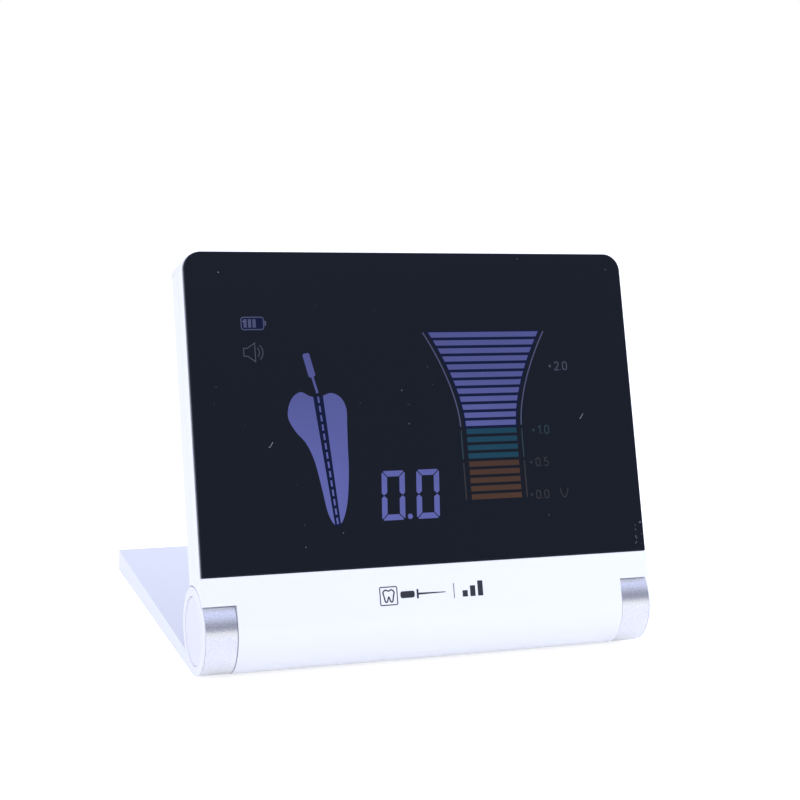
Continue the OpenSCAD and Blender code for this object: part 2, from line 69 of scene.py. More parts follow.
HINGE = next(j for j in frame["joints"] if j["name"] == "display_hinge")
HINGE_LINE = Vector(HINGE["pos_m"])
LEAN = math.radians(HINGE["range_deg"][1])
PANEL = Matrix.Translation(HINGE_LINE) @ Matrix.Rotation(-LEAN, 4, "X")


def panel_points(name):
    """The vertices of a CAD node in the upright frame of the housing."""
    back = PANEL.inverted()
    return [back @ v.co for v in frame["nodes"][name].data.vertices]


def panel_box(name):
    """Lowest and highest corner of a CAD node in the upright frame of the housing."""
    points = panel_points(name)
    low = Vector([min(p[i] for p in points) for i in range(3)])
    high = Vector([max(p[i] for p in points) for i in range(3)])
    return low, high


GLASS_LOW, GLASS_HIGH = panel_box("cover_glass")
FACE_Y = GLASS_LOW.y


# ---- materials ----


def add_node(tree, kind, inputs=None, **settings):
    """A new shader node with its settings and unlinked input values."""
    made = tree.nodes.new(kind)
    for key, value in settings.items():
        setattr(made, key, value)
    for key, value in (inputs or {}).items():
        made.inputs[key].default_value = value
    return made


def new_material(name, colour, roughness, metallic=0.0, **extra):
    """A Principled material; returns it with its tree and its shader node."""
    made = bpy.data.materials.new(name)
    made.use_nodes = True
    tree = made.node_tree
    shader = tree.nodes["Principled BSDF"]
    shader.inputs["Base Color"].default_value = (*colour, 1.0)
    shader.inputs["Roughness"].default_value = roughness
    shader.inputs["Metallic"].default_value = metallic
    for key, value in extra.items():
        shader.inputs[key.replace("_", " ")].default_value = value
    return made, tree, shader


def noise(tree, scale, detail=3.0, roughness=0.55, stretch=None):
    """Noise over the piece's own coordinates; scale is in features per metre."""
    place = add_node(tree, "ShaderNodeTexCoord")
    made = add_node(tree, "ShaderNodeTexNoise", {"Scale": scale, "Detail": detail, "Roughness": roughness})
    if stretch is None:
        tree.links.new(place.outputs["Object"], made.inputs["Vector"])
        return made.outputs["Fac"]
    mapping = add_node(tree, "ShaderNodeMapping", {"Scale": stretch})
    tree.links.new(place.outputs["Object"], mapping.inputs["Vector"])
    tree.links.new(mapping.outputs["Vector"], made.inputs["Vector"])
    return made.outputs["Fac"]


def ranged(tree, value, low, high, to_low, to_high):
    """The value mapped from one range to another, held at both ends."""
    made = add_node(
        tree,
        "ShaderNodeMapRange",
        {"From Min": low, "From Max": high, "To Min": to_low, "To Max": to_high},
    )
    tree.links.new(value, made.inputs["Value"])
    return made.outputs["Result"]


def vary_roughness(tree, shader, scale, low, high):
    """Roughness wanders between low and high, as on a handled surface."""
    tree.links.new(ranged(tree, noise(tree, scale), 0.3, 0.7, low, high), shader.inputs["Roughness"])


def vary_colour(tree, shader, scale, first, second, share=None):
    """Colour wanders between two tones; share may be another factor than noise."""
    mix = add_node(tree, "ShaderNodeMix", data_type="RGBA")
    mix.inputs[6].default_value = (*first, 1.0)
    mix.inputs[7].default_value = (*second, 1.0)
    factor = share if share is not None else ranged(tree, noise(tree, scale), 0.35, 0.65, 0.0, 1.0)
    tree.links.new(factor, mix.inputs[0])
    tree.links.new(mix.outputs[2], shader.inputs["Base Color"])
    return mix


def add_bump(tree, shader, height, distance, strength=1.0):
    """Surface relief from a height value; distance is its depth in metres."""
    bump = add_node(tree, "ShaderNodeBump", {"Strength": strength, "Distance": distance})
    tree.links.new(height, bump.inputs["Height"])
    tree.links.new(bump.outputs["Normal"], shader.inputs["Normal"])
    return bump


def moulded_plastic(name, colour, roughness):
    """Gloss ABS: a very faint flow tone, even gloss and a little orange peel."""
    made, tree, shader = new_material(name, colour, roughness, IOR=1.5)
    tone = [0.996 * c for c in colour]
    vary_colour(tree, shader, 0, colour, tone, ranged(tree, noise(tree, 22, 1.0), 0, 1, 0, 1))
    gloss = ranged(tree, noise(tree, 40, 1.0), 0, 1, roughness - 0.006, roughness + 0.006)
    tree.links.new(gloss, shader.inputs["Roughness"])
    add_bump(tree, shader, noise(tree, 90, 1.0), 0.02 * MM, 0.2)
    return made


def specks(tree, scale, size, share):
    """Small round specks: 1 inside a speck, 0 elsewhere. share is how many cells hold one."""
    place = add_node(tree, "ShaderNodeTexCoord")
    cells = add_node(tree, "ShaderNodeTexVoronoi", {"Scale": scale, "Randomness": 1.0})
    tree.links.new(place.outputs["Object"], cells.inputs["Vector"])
    split = add_node(tree, "ShaderNodeSeparateColor")
    tree.links.new(cells.outputs["Color"], split.inputs["Color"])
    near = ranged(tree, cells.outputs["Distance"], size, size * 0.6, 0.0, 1.0)
    chosen = ranged(tree, split.outputs["Red"], 1 - share, 1 - share + 0.001, 0.0, 1.0)
    both = add_node(tree, "ShaderNodeMath", operation="MULTIPLY")
    tree.links.new(near, both.inputs[0])
    tree.links.new(chosen, both.inputs[1])
    return both.outputs["Value"]


GLASS_TONE = (0.004, 0.006, 0.011)
GLASS_GLOSS = 0.30


def black_glass():
    """Black-backed cover glass with faint wiping marks and tiny pale specks."""
    made, tree, shader = new_material("black_glass", GLASS_TONE, 0.05, IOR=1.5)
    shader.inputs["Specular IOR Level"].default_value = GLASS_GLOSS
    vary_colour(tree, shader, 0, GLASS_TONE, (0.12, 0.12, 0.13), specks(tree, 300, 0.06, 0.07))
    vary_roughness(tree, shader, 38, 0.035, 0.11)
    return made


def lit_segment(name, colour, foot_gain=1.55, gloss=GLASS_GLOSS):
    """A display segment seen through the glass, lit from the foot, so it fades upwards."""
    made, tree, shader = new_material(name, GLASS_TONE, 0.06, IOR=1.5)
    shader.inputs["Specular IOR Level"].default_value = gloss
    shader.inputs["Emission Color"].default_value = (*colour, 1.0)
    place = add_node(tree, "ShaderNodeTexCoord")
    split = add_node(tree, "ShaderNodeSeparateXYZ")
    tree.links.new(place.outputs["Object"], split.inputs["Vector"])
    fade = ranged(tree, split.outputs["Z"], 24 * MM, 62 * MM, foot_gain, 1.0)
    patchy = ranged(tree, noise(tree, 60), 0.3, 0.7, 0.93, 1.05)
    glow = add_node(tree, "ShaderNodeMath", operation="MULTIPLY")
    tree.links.new(fade, glow.inputs[0])
    tree.links.new(patchy, glow.inputs[1])
    tree.links.new(glow.outputs["Value"], shader.inputs["Emission Strength"])
    return made


def satin_aluminium():
    """Bead-blasted and anodised aluminium: a fine, even grain."""
    made, tree, shader = new_material("satin_aluminium", (0.86, 0.86, 0.88), 0.22, 1.0)
    grain = noise(tree, 2600, 2.0, 0.6)
    share = ranged(tree, grain, 0.3, 0.7, 0, 1)
    vary_colour(tree, shader, 0, (0.80, 0.80, 0.83), (0.93, 0.93, 0.95), share)
    vary_roughness(tree, shader, 3000, 0.19, 0.26)
    add_bump(tree, shader, grain, 0.016 * MM, 0.8)
    return made


def brushed_metal(name, light, dark, roughness, stretch):
    """Plated or ground metal with fine lines across one direction."""
    made, tree, shader = new_material(name, light, roughness, 1.0)
    lines = noise(tree, 900, 3.0, 0.6, stretch)
    vary_colour(tree, shader, 0, light, dark, ranged(tree, lines, 0.35, 0.65, 0, 1))
    vary_roughness(tree, shader, 300, roughness - 0.07, roughness + 0.1)
    add_bump(tree, shader, lines, 0.006 * MM, 0.5)
    return made


def rubber():
    """Matt moulded rubber with a fine spark-eroded texture."""
    made, tree, shader = new_material("rubber", (0.02, 0.02, 0.021), 0.75)
    vary_colour(tree, shader, 180, (0.016, 0.016, 0.017), (0.032, 0.032, 0.034))
    add_bump(tree, shader, noise(tree, 3800, 3.0), 0.03 * MM, 0.7)
    return made


def board_green():
    """Solder mask over copper: tracks show as slightly raised, lighter lines."""
    made, tree, shader = new_material("board_green", (0.012, 0.10, 0.045), 0.32, IOR=1.5)
    place = add_node(tree, "ShaderNodeTexCoord")
    tracks = add_node(tree, "ShaderNodeTexBrick", {"Scale": 260, "Mortar Size": 0.03, "Brick Width": 0.9})
    tree.links.new(place.outputs["Object"], tracks.inputs["Vector"])
    vary_colour(tree, shader, 0, (0.01, 0.085, 0.038), (0.03, 0.19, 0.08), tracks.outputs["Fac"])
    add_bump(tree, shader, tracks.outputs["Fac"], 0.03 * MM, 0.5)
    return made


def chip_black():
    """Moulded epoxy and nylon: dull, slightly granular."""
    made, tree, shader = new_material("chip_black", (0.018, 0.018, 0.02), 0.55)
    vary_colour(tree, shader, 400, (0.014, 0.014, 0.016), (0.03, 0.03, 0.032))
    add_bump(tree, shader, noise(tree, 5000, 2.0), 0.01 * MM, 0.6)
    return made


def polyimide():
    """Amber film with copper tracks along the lead."""
    made, tree, shader = new_material("polyimide", (0.45, 0.17, 0.03), 0.28, IOR=1.6)
    place = add_node(tree, "ShaderNodeTexCoord")
    wave = add_node(tree, "ShaderNodeTexWave", {"Scale": 160}, bands_direction="X")
    tree.links.new(place.outputs["Object"], wave.inputs["Vector"])
    tracks = ranged(tree, wave.outputs["Fac"], 0.45, 0.55, 0.0, 1.0)
    vary_colour(tree, shader, 0, (0.42, 0.15, 0.025), (0.60, 0.26, 0.06), tracks)
    add_bump(tree, shader, tracks, 0.02 * MM, 0.6)
    return made


def soft_sleeve(name, light, dark, roughness):
    """Shrink sleeve or wire insulation."""
    made, tree, shader = new_material(name, light, roughness, IOR=1.5)
    vary_colour(tree, shader, 90, light, dark)
    add_bump(tree, shader, noise(tree, 700, 2.0), 0.02 * MM, 0.5)
    return made


SHELL = moulded_plastic("moulded_white", (0.835, 0.85, 0.885), 0.27)
# The base's white is the housing's white made darker and bluer: painted shade, for the bluish shade the base lies
# in behind the leaning housing.
BASE_WHITE_PAINTED_SHADE = moulded_plastic("moulded_base_white_painted_shade", (0.80, 0.815, 0.865), 0.27)
CAP = moulded_plastic("moulded_cap_white", (0.755, 0.765, 0.83), 0.3)
KEY = moulded_plastic("moulded_key_white", (0.77, 0.79, 0.82), 0.38)
DIFFUSER = moulded_plastic("diffuser_white", (0.75, 0.79, 0.85), 0.5)
GLASS = black_glass()
PRINT = soft_sleeve("print_grey", (0.016, 0.017, 0.026), (0.02, 0.021, 0.03), 0.4)
MARK = soft_sleeve("mark_grey", (0.30, 0.32, 0.36), (0.34, 0.36, 0.4), 0.4)
ALUMINIUM = satin_aluminium()
SHEET_STEEL = brushed_metal("sheet_steel", (0.60, 0.61, 0.63), (0.48, 0.49, 0.51), 0.34, (1, 12, 1))
SCREW_STEEL = brushed_metal("screw_steel", (0.62, 0.62, 0.63), (0.45, 0.45, 0.46), 0.28, (6, 6, 1))
SHAFT_STEEL = brushed_metal("shaft_steel", (0.55, 0.55, 0.57), (0.45, 0.45, 0.47), 0.24, (30, 1, 1))
NICKEL = brushed_metal("nickel", (0.70, 0.68, 0.63), (0.60, 0.58, 0.54), 0.25, (1, 8, 1))
BRONZE = brushed_metal("bronze", (0.60, 0.38, 0.18), (0.46, 0.28, 0.12), 0.42, (2, 2, 2))
GOLD = brushed_metal("contact_gold", (0.85, 0.62, 0.25), (0.75, 0.52, 0.2), 0.25, (4, 4, 1))
RUBBER = rubber()
BOARD = board_green()
CHIP = chip_black()
RIBBON = polyimide()
CELL = soft_sleeve("cell_sleeve", (0.03, 0.11, 0.32), (0.025, 0.09, 0.27), 0.3)
WIRE = soft_sleeve("wire_red", (0.42, 0.02, 0.02), (0.34, 0.015, 0.015), 0.35)
VIOLET = lit_segment("segment_violet", (0.073, 0.081, 0.260))
TEAL = lit_segment("segment_teal", (0.003, 0.041, 0.072), 1.1)
ORANGE = lit_segment("segment_orange", (0.034, 0.014, 0.004), 2.1)
OUTLINE = lit_segment("segment_outline", (0.065, 0.072, 0.150), 1.2)
LABEL = lit_segment("segment_label", (0.060, 0.063, 0.095), 1.0)
TEAL_LABEL = lit_segment("segment_label_teal", (0.018, 0.040, 0.052), 1.0)
ORANGE_LABEL = lit_segment("segment_label_orange", (0.030, 0.026, 0.026), 1.0)
UNLIT = lit_segment("segment_unlit", (0.001, 0.003, 0.027), 1.0, 0.14)
LCD_GLASS = lit_segment("lcd_glass", (0.006, 0.006, 0.012), 1.0)

SLOT_MATERIALS = {
    "white_shell": SHELL,
    "white_cap": CAP,
    "key_white": KEY,
    "black_glass": GLASS,
    "lcd": LCD_GLASS,
    "guide": DIFFUSER,
    "satin_aluminium": ALUMINIUM,
    "sheet_steel": SHEET_STEEL,
    "screw_steel": SCREW_STEEL,
    "shaft_steel": SHAFT_STEEL,
    "bronze": BRONZE,
    "rubber": RUBBER,
    "board": BOARD,
    "chip": CHIP,
    "ribbon": RIBBON,
    "nickel": NICKEL,
    "cell": CELL,
    "wire": WIRE,
}

# Both base parts take the darker, bluer white, which carries painted shade.
NODE_MATERIALS = {"base_shell": BASE_WHITE_PAINTED_SHADE, "base_bottom_cover": BASE_WHITE_PAINTED_SHADE}
EDGES = {
    "base_shell": 0.22,
    "front_frame": 0.14,
    "rear_cover": 0.22,
    "base_bottom_cover": 0.2,
    "left_hinge_ring": 0.07,
    "right_hinge_ring": 0.07,
}


# ---- CAD nodes that stay ----


def soften(name, width, sharp=32):
    """Joins a node's faces, rounds its edges and evens its shading, all by modifiers."""
    node = frame["nodes"][name]
    join = node.modifiers.new("Join", "WELD")
    join.merge_threshold = 0.001 * MM
    flat = node.modifiers.new("Flat", "DECIMATE")
    flat.decimate_type = "DISSOLVE"
    flat.angle_limit = math.radians(0.6)
    edge = node.modifiers.new("Edge", "BEVEL")
    edge.width = width
    edge.segments = 3
    edge.limit_method = "ANGLE"
    edge.angle_limit = math.radians(sharp)
    shade = node.modifiers.new("Shade", "WEIGHTED_NORMAL")
    shade.keep_sharp = False
    shade.weight = 60


def finish_cad_nodes():
    """Gives every CAD node the material of its slot and a rounded edge of a fitting size."""
    for part in frame["record"]["subparts"]:
        name = part["node"]
        mesh = frame["nodes"][name].data
        mesh.materials.clear()
        mesh.materials.append(NODE_MATERIALS.get(name, SLOT_MATERIALS[part["material_slot"]]))
        soften(name, EDGES.get(name, 0.12) * MM)


# ---- outlines and flat pieces ----


def arc(cx, cz, radius, start, end, steps):
    """Points along an arc, angles in degrees from +x towards +z."""
    angles = [math.radians(start + (end - start) * i / steps) for i in range(steps + 1)]
    return [(cx + radius * math.cos(a), cz + radius * math.sin(a)) for a in angles]


def spline(points, steps, closed):
    """A smooth line through the points, by Catmull-Rom blending."""
    count = len(points)
    made = []
    for i in range(count if closed else count - 1):
        if closed:
            p = [Vector(points[(i + k) % count]) for k in (-1, 0, 1, 2)]
        else:
            p = [Vector(points[min(max(i + k, 0), count - 1)]) for k in (-1, 0, 1, 2)]
        for j in range(steps):
            t = j / steps
            made.append(
                0.5
                * (
                    2 * p[1]
                    + (p[2] - p[0]) * t
                    + (2 * p[0] - 5 * p[1] + 4 * p[2] - p[3]) * t**2
                    + (3 * p[1] - p[0] - 3 * p[2] + p[3]) * t**3
                )
            )
    if not closed:
        made.append(Vector(points[-1]))
    return [(p.x, p.y) for p in made]


def add_outline(mesh, outline, front, back):
    """A closed flat plate between two depths, from an outline of (x, z) millimetres."""
    rings = []
    for y in (front, back):
        rings.append([mesh.verts.new((x * MM, y, z * MM)) for x, z in outline])
    mesh.faces.new(rings[0])
    mesh.faces.new(list(reversed(rings[1])))
    count = len(outline)
    for i in range(count):
        j = (i + 1) % count
        mesh.faces.new((rings[0][j], rings[0][i], rings[1][i], rings[1][j]))


def add_stroke(mesh, points, width, front, back, closed=False):
    """A flat line of even width along the points, which are (x, z) millimetres."""
    count = len(points)
    line = [Vector(p) for p in points]
    sides = ([], [])
    for i in range(count):
        before = line[i - 1] if closed or i > 0 else line[i]
        after = line[(i + 1) % count] if closed or i < count - 1 else line[i]
        came, goes = line[i] - before, after - line[i]
        first = came.normalized() if came.length else goes.normalized()
        second = goes.normalized() if goes.length else first
        along = (first + second).normalized()
        across = Vector((-along.y, along.x))
        reach = width / 2 / max(0.35, across.dot(Vector((-first.y, first.x))))
        sides[0].append(line[i] + across * reach)
        sides[1].append(line[i] - across * reach)
    rows = []
    for y in (front, back):
        rows.append([[mesh.verts.new((p.x * MM, y, p.y * MM)) for p in side] for side in sides])
    (fl, fr), (bl, br) = rows
    for i in range(count if closed else count - 1):
        j = (i + 1) % count
        mesh.faces.new((fl[i], fl[j], fr[j], fr[i]))
        mesh.faces.new((bl[i], br[i], br[j], bl[j]))
        mesh.faces.new((fl[i], bl[i], bl[j], fl[j]))
        mesh.faces.new((fr[i], fr[j], br[j], br[i]))
    if not closed:
        mesh.faces.new((fl[0], fr[0], br[0], bl[0]))
        mesh.faces.new((fl[-1], bl[-1], br[-1], fr[-1]))


def make_piece(name, mesh, material, body="display", smooth=False, place=PANEL):
    """Turns a bmesh in the housing's frame into a piece that rides on a body."""
    bmesh.ops.recalc_face_normals(mesh, faces=mesh.faces)
    data = bpy.data.meshes.new(name)
    mesh.to_mesh(data)
    mesh.free()
    if smooth:
        data.shade_smooth()
    data.materials.append(material)
    piece = bpy.data.objects.new(name, data)
    bpy.context.scene.collection.objects.link(piece)
    piece.matrix_world = place
    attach(piece, body)
    return piece


# ---- cover glass ----

SIDE_TOP = max(p.z for p in panel_points("cover_glass") if p.x > GLASS_HIGH.x - 0.01 * MM)
GLASS_CORNER = GLASS_HIGH.z - SIDE_TOP
GLASS_FOOT_CORNER = 0.35 * MM
GLASS_CHAMFER = 0.28 * MM
CORNER_STEPS = 14


def glass_ring(mesh, inset, depth):
    """One ring of the glass: round corners at the top, nearly sharp ones at the foot."""
    low = GLASS_LOW + Vector((inset, 0, inset))
    high = GLASS_HIGH - Vector((inset, 0, inset))
    top = GLASS_CORNER - inset
    foot = max(GLASS_FOOT_CORNER - inset, 0.05 * MM)
    outline = arc(high.x - top, high.z - top, top, 0, 90, CORNER_STEPS)
    outline += arc(low.x + top, high.z - top, top, 90, 180, CORNER_STEPS)
    outline += arc(low.x + foot, low.z + foot, foot, 180, 270, 4)
    outline += arc(high.x - foot, low.z + foot, foot, 270, 360, 4)
    return [mesh.verts.new((x, depth, z)) for x, z in outline]


def cover_glass():
    """The glass plate with a polished chamfer round its front."""
    mesh = bmesh.new()
    steps = 4
    rings = [glass_ring(mesh, 0, GLASS_HIGH.y)]
    for i in range(steps + 1):
        turn = i / steps * math.pi / 2
        inset = GLASS_CHAMFER * (1 - math.cos(turn))
        depth = FACE_Y + GLASS_CHAMFER * (1 - math.sin(turn))
        rings.append(glass_ring(mesh, inset, depth))
    count = len(rings[0])
    for near, far in zip(rings[1:], rings):
        for i in range(count):
            j = (i + 1) % count
            mesh.faces.new((near[i], near[j], far[j], far[i]))
    mesh.faces.new(rings[0])
    mesh.faces.new(list(reversed(rings[-1])))
    piece = make_piece("cover_glass_plate", mesh, GLASS, smooth=True)
    shade = piece.modifiers.new("Shade", "WEIGHTED_NORMAL")
    shade.weight = 90
    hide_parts("cover_glass")


# ---- display graphics: outlines are (x, z) millimetres from the hinge line ----

INK_FRONT = FACE_Y - 0.02 * MM
INK_BACK = FACE_Y + 0.06 * MM


def graphic(name, outlines=(), strokes=(), material=VIOLET):
    """One display graphic from filled outlines and from (points, width, closed) strokes."""
    mesh = bmesh.new()
    for outline in outlines:
        add_outline(mesh, outline, INK_FRONT, INK_BACK)
    for points, width, closed in strokes:
        add_stroke(mesh, points, width, INK_FRONT, INK_BACK, closed)
    return make_piece(name, mesh, material)


def round_box(left, right, foot, top, corner, steps=4):
    """A rectangle with round corners."""
    outline = arc(right - corner, top - corner, corner, 0, 90, steps)
    outline += arc(left + corner, top - corner, corner, 90, 180, steps)
    outline += arc(left + corner, foot + corner, corner, 180, 270, steps)
    outline += arc(right - corner, foot + corner, corner, 270, 360, steps)
    return outline


def battery_icon():
    """A battery with three of its four bars lit."""
    left, right, foot, top = -46.2, -40.5, 72.45, 75.55
    case = round_box(left, right, foot, top, 0.6)
    nub = [(right + 0.25, 73.3), (right + 0.65, 73.5), (right + 0.65, 74.5), (right + 0.25, 74.7)]
    bars = []
    for i in range(3):
        x = left + 0.6 + 1.15 * i
        bars.append([(x, foot + 0.5), (x + 0.8, foot + 0.5), (x + 0.8, top - 0.5), (x, top - 0.5)])
    graphic("battery_icon", [nub, *bars], [(case, 0.26, True)], OUTLINE)
    mesh = bmesh.new()
    add_outline(mesh, case, FACE_Y - 0.01 * MM, INK_BACK)
    make_piece("battery_field", mesh, UNLIT)


def speaker_icon():
    """A loudspeaker with two sound waves."""
    cone = [(-46.0, 65.8), (-45.0, 65.8), (-43.1, 64.4), (-43.1, 69.1), (-45.0, 67.8), (-46.0, 67.8)]
    strokes = [(cone, 0.22, True)]
    for radius in (1.4, 2.3):
        strokes.append((arc(-43.4, 66.75, radius, -50, 50, 10), 0.22, False))
    graphic("speaker_icon", (), strokes, LABEL)


TOOTH_OUTLINE = [
    (-25.8, 23.6),
    (-27.2, 26.6),
    (-28.3, 32.5),
    (-29.7, 39.3),
    (-31.6, 43.8),
    (-34.2, 47.0),
    (-35.8, 50.6),
    (-34.8, 54.6),
    (-32.3, 56.6),
    (-29.7, 55.5),
    (-27.3, 55.3),
    (-24.3, 56.2),
    (-21.8, 55.0),
    (-20.5, 52.2),
    (-20.6, 48.0),
    (-20.8, 42.8),
    (-21.0, 36.5),
    (-21.8, 29.5),
    (-23.0, 25.2),
    (-24.3, 23.4),
]
CANAL_TOP = (-27.7, 55.6)
CANAL_TIP = (-24.75, 23.0)


def along(start, end, share):
    """A point between two others."""
    return tuple(a + (b - a) * share for a, b in zip(start, end))


def tooth_graphic():
    """A single-rooted tooth with its canal, and the dashed light line of the file in it."""
    body = spline(TOOTH_OUTLINE, 6, True)
    graphic("tooth_graphic", [body])
    half_top, half_tip = 1.3, 0.75
    canal = [
        (CANAL_TOP[0] - half_top, CANAL_TOP[1]),
        (CANAL_TIP[0] - half_tip, CANAL_TIP[1]),
        (CANAL_TIP[0] + half_tip, CANAL_TIP[1]),
        (CANAL_TOP[0] + half_top, CANAL_TOP[1]),
    ]
    mesh = bmesh.new()
    add_outline(mesh, canal, INK_FRONT - 0.01 * MM, INK_BACK)
    make_piece("canal_graphic", mesh, UNLIT)
    mesh = bmesh.new()
    dashes = 14
    for i in range(dashes):
        start = along(CANAL_TOP, CANAL_TIP, (i + 0.1) / dashes)
        end = along(CANAL_TOP, CANAL_TIP, (i + 0.78) / dashes)
        add_stroke(mesh, [start, end], 0.45, INK_FRONT - 0.02 * MM, INK_BACK)
    make_piece("file_dashes", mesh, VIOLET)


def file_graphic():
    """The handle and shank of the file above the tooth."""
    top, foot = Vector((-30.2, 66.3)), Vector((-28.8, 60.3))
    lean = math.degrees(math.atan2(foot.y - top.y, foot.x - top.x))
    width, corner = 1.8, 0.5
    length = (foot - top).length
    outline = []
    for sx, sy, start in ((1, 1, 0), (-1, 1, 90), (-1, -1, 180), (1, -1, 270)):
        cx, cz = sx * (length / 2 - corner), sy * (width / 2 - corner)
        outline += arc(cx, cz, corner, start, start + 90, 4)
    turn = Matrix.Rotation(math.radians(lean), 2)
    middle = (top + foot) / 2
    handle = [tuple(turn @ Vector(p) + middle) for p in outline]
    shank = [tuple(foot), along(CANAL_TOP, CANAL_TIP, -0.02)]
    graphic("file_graphic", [handle], [(shank, 0.6, False)])


DIGIT_W, DIGIT_H, DIGIT_STROKE, DIGIT_GAP = 6.2, 12.4, 1.45, 0.17
DIGIT_SLANT = 0.06


def digit_zero(left, foot):
    """The six lit segments of a zero: mitred at the corners, pointed where they meet halfway."""
    w, h, s, g = DIGIT_W, DIGIT_H, DIGIT_STROKE, DIGIT_GAP
    c = 0.3 * s
    top = [(c + g, h), (w - c - g, h), (w - c / 2 - g, h - c / 2)]
    top += [(w - s - g, h - s), (s + g, h - s), (c / 2 + g, h - c / 2)]
    middle = h / 2
    side = [(0, h - c - g), (c / 2, h - c / 2 - g), (s, h - s - g), (s, middle + s * 0.55)]
    side += [(s * 0.55, middle + g), (s * 0.3, middle + g), (0, middle + s * 0.45)]
    quarter = [top, side, [(w - x, z) for x, z in side]]
    upside_down = [[(x, h - z) for x, z in outline] for outline in quarter]
    return [
        [(left + x + DIGIT_SLANT * z, foot + z) for x, z in outline] for outline in quarter + upside_down
    ]


def reading():
    """The reading 0.0 under the tooth."""
    foot = 23.75
    outlines = digit_zero(-13.15, foot) + digit_zero(-3.85, foot)
    outlines.append(arc(-5.6, foot + 0.75, 0.68, 0, 345, 23))
    graphic("reading_digits", outlines)


METER_X, METER_TOP, METER_PITCH, METER_BARS = 18.5, 71.25, 2.10, 21
METER_BAR = 1.35
METER_NECK, METER_FLARE, METER_POWER = 7.0, 8.5, 1.7
METER_NECK_Z = 46.7


def meter_half(z):
    """Half the width of the meter's bars at a height: a neck that flares towards the top."""
    share = max(0.0, (z - METER_NECK_Z) / (METER_TOP - METER_NECK_Z))
    return METER_NECK + METER_FLARE * share**METER_POWER


def meter_bars(name, first, last, material):
    """A run of the meter's bars, counted from the top."""
    outlines = []
    for i in range(first, last):
        top = METER_TOP - METER_PITCH * i
        foot = top - METER_BAR
        wide, narrow = meter_half(top), meter_half(foot)
        outlines.append(
            [
                (METER_X - narrow, foot),
                (METER_X + narrow, foot),
                (METER_X + wide, top),
                (METER_X - wide, top),
            ]
        )
    graphic(name, outlines, (), material)


def meter_glow(bars):
    """The unlit field that shows darkly between the violet bars."""
    heights = [METER_TOP - METER_PITCH * i for i in range(bars + 1)]
    heights[0] += 0.3
    right = [(METER_X + meter_half(z) + 0.5, z) for z in heights]
    left = [(METER_X - meter_half(z) - 0.5, z) for z in reversed(heights)]
    mesh = bmesh.new()
    add_outline(mesh, right + left, FACE_Y - 0.01 * MM, INK_BACK)
    make_piece("meter_field", mesh, UNLIT)


def meter_line(name, z_from, z_to, margin, material, steps=16):
    """The pair of thin lines that follow the meter's outline."""
    strokes = []
    for side in (-1, 1):
        points = []
        for i in range(steps + 1):
            z = z_from + (z_to - z_from) * i / steps
            points.append((METER_X + side * (meter_half(z) + margin), z))
        strokes.append((points, 0.32, False))
    graphic(name, (), strokes, material)


NUMERAL_WIDTHS = {"0": 0.60, "1": 0.38, "2": 0.60, "5": 0.58, ".": 0.2}
NUMERAL_SPACE = 0.16


def numeral(sign):
    """The strokes of one dial number, one unit high."""
    if sign == "0":
        r = 0.27
        ends = arc(r, 1 - r, r, 0, 180, 10) + arc(r, r, r, 180, 360, 10)
        return [(ends, True)]
    if sign == "1":
        return [([(0.02, 0.78), (0.26, 1.0), (0.26, 0.0)], False)]
    if sign == "2":
        bow = arc(0.27, 0.73, 0.27, 168, -32, 10)
        return [([*bow, (0.0, 0.0), (0.56, 0.0)], False)]
    if sign == "5":
        bow = arc(0.24, 0.31, 0.31, 118, -140, 12)
        return [([(0.5, 1.0), (0.08, 1.0), (0.04, 0.56), *bow], False)]
    return [([(0.04, 0.0), (0.04, 0.1)], False)]


def dial_numbers(name, words, material):
    """Dial numbers, each with the tip that points at its line; words are (text, x, z)."""
    height, width = 2.1, 0.27
    strokes, tips = [], []
    for text, x, z in words:
        tips.append([(x - 1.9, z + 1.05), (x - 1.1, z + 0.6), (x - 1.1, z + 1.5)])
        for sign in text:
            for points, closed in numeral(sign):
                strokes.append(([(x + px * height, z + pz * height) for px, pz in points], width, closed))
            x += (NUMERAL_WIDTHS[sign] + NUMERAL_SPACE) * height
    graphic(name, tips, strokes, material)


def meter():
    """The depth meter: violet, teal and orange bars, outline and dial numbers."""
    teal_from, orange_from = 12, 16
    meter_glow(teal_from)
    meter_bars("meter_bars_violet", 0, teal_from, VIOLET)
    meter_bars("meter_bars_teal", teal_from, orange_from, TEAL)
    meter_bars("meter_bars_orange", orange_from, METER_BARS, ORANGE)
    foot = METER_TOP - METER_PITCH * METER_BARS + METER_PITCH - METER_BAR
    meter_line("meter_line_violet", METER_TOP, METER_NECK_Z, 1.5, OUTLINE)
    meter_line("meter_line_teal", 45.7, 38.3, 1.5, TEAL_LABEL, 2)
    meter_line("meter_line_orange", 37.4, foot, 1.5, ORANGE_LABEL, 2)
    dial_numbers("meter_number_upper", [("2.0", 38.0, 60.9)], LABEL)
    dial_numbers("meter_number_middle", [("1.0", 31.7, 44.2)], TEAL_LABEL)
    dial_numbers("meter_numbers_lower", [("0.5", 30.3, 35.8), ("0.0", 29.7, 27.4)], ORANGE_LABEL)
    tip = spline([(36.6, 29.8), (36.9, 28.4), (37.7, 27.4), (38.5, 28.4), (38.8, 29.8)], 5, False)
    graphic("root_tip_mark", (), [(tip, 0.27, False)], ORANGE_LABEL)


def block(left, right, foot, top):
    """A plain rectangle as an outline."""
    return [(left, foot), (right, foot), (right, top), (left, top)]


PRINT_TOOTH = [
    (-14.35, 6.0),
    (-13.7, 6.55),
    (-12.9, 6.3),
    (-12.1, 6.55),
    (-11.45, 6.0),
    (-11.65, 5.0),
    (-11.95, 3.7),
    (-12.45, 3.7),
    (-12.9, 4.8),
    (-13.35, 3.7),
    (-13.85, 3.7),
    (-14.15, 5.0),
]


